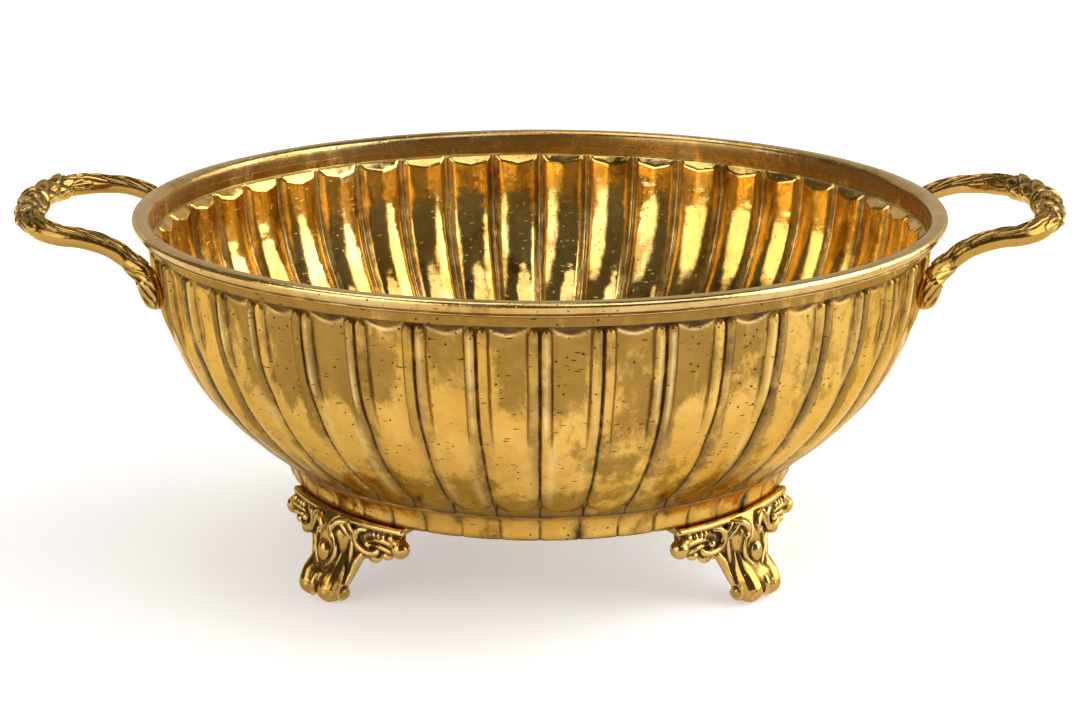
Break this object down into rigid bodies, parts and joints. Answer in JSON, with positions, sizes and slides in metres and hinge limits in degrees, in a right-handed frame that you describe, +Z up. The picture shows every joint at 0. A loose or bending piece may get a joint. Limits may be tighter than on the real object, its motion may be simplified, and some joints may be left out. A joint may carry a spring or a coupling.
{
  "type": "footed planter bowl",
  "caption": "Round fluted brass planter bowl with a moulded rim, leaf-wrapped loop handles and cast scroll feet; holds a plant pot or soil.",
  "frame": {"origin": "on the floor, under the middle of the bowl", "axes": "+Z up, +X towards the right handle, -Y towards the viewer of the picture"},
  "size_m": [0.4258, 0.33, 0.15],
  "materials": {
    "sheet_brass": "worn satin with brown patina",
    "rim_brass": "brushed, slightly dull",
    "cast_brass": "cast, polished on the high parts",
    "screw_brass": "dull turned"
  },
  "bodies": {
    "root": {"bowl_shell": "sheet_brass", "rim_ring": "rim_brass", "base_ring": "sheet_brass", "bowl_floor": "sheet_brass", "handle_right": "cast_brass", "handle_left": "cast_brass", "foot_back_right": "cast_brass", "foot_screw_back_right_1": "screw_brass", "foot_washer_back_right_1": "screw_brass", "foot_screw_back_right_2": "screw_brass", "foot_washer_back_right_2": "screw_brass", "foot_back_left": "cast_brass", "foot_screw_back_left_1": "screw_brass", "foot_washer_back_left_1": "screw_brass", "foot_screw_back_left_2": "screw_brass", "foot_washer_back_left_2": "screw_brass", "foot_front_left": "cast_brass", "foot_screw_front_left_1": "screw_brass", "foot_washer_front_left_1": "screw_brass", "foot_screw_front_left_2": "screw_brass", "foot_washer_front_left_2": "screw_brass", "foot_front_right": "cast_brass", "foot_screw_front_right_1": "screw_brass", "foot_washer_front_right_1": "screw_brass", "foot_screw_front_right_2": "screw_brass", "foot_washer_front_right_2": "screw_brass"}
  },
  "joints": []
}
